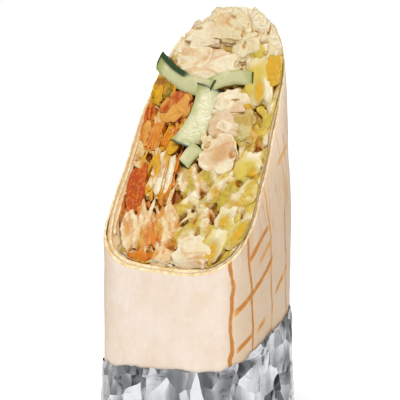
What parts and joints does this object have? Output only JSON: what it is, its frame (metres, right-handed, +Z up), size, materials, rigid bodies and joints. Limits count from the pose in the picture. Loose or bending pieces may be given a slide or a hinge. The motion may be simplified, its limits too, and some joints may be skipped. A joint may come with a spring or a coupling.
{
  "type": "chicken durum wrap half",
  "caption": "Half of a rolled flatbread wrap, cut on the slant, with chicken, salad and cucumber showing, standing on its foil-wrapped end.",
  "frame": {"origin": "middle of the underside of the foil-wrapped foot", "axes": "+Z up along the roll, the broad face and the low side of the cut towards -Y, the high side of the cut towards +Y"},
  "size_m": [0.0708, 0.0608, 0.1662],
  "materials": {
    "flatbread": "matt baked flatbread, pale with brown grill marks",
    "foil": "bright crumpled foil",
    "chicken": "moist cooked chicken in a creamy sauce",
    "grilled": "moist spiced grilled chicken",
    "rib": "moist yellow-green vegetable",
    "cucumber": "wet pale green flesh with a dark skin",
    "shreds": "moist pale cabbage",
    "salad": "creamy dressed salad"
  },
  "bodies": {
    "root": {"flatbread": "flatbread", "foil": "foil", "dressed_salad": "salad", "grilled_chicken": "grilled", "cabbage_shreds": "shreds", "chicken_chunk_1": "chicken", "chicken_chunk_2": "chicken", "chicken_chunk_3": "chicken", "chicken_chunk_4": "chicken", "chicken_chunk_5": "chicken", "chicken_chunk_6": "chicken", "chicken_chunk_7": "chicken", "chicken_chunk_8": "chicken", "chicken_chunk_9": "chicken", "cabbage_rib_1": "rib", "cabbage_rib_2": "rib", "cabbage_rib_3": "rib", "cabbage_rib_4": "rib", "cabbage_rib_5": "rib", "cabbage_rib_6": "rib", "grilled_piece_1": "grilled", "grilled_piece_2": "grilled", "grilled_piece_3": "grilled", "grilled_piece_4": "grilled", "grilled_piece_5": "grilled", "grilled_piece_6": "grilled", "grilled_piece_7": "grilled", "cucumber_slice_1": "cucumber", "cucumber_slice_2": "cucumber", "cucumber_slice_3": "cucumber", "cucumber_slice_4": "cucumber"}
  },
  "joints": []
}
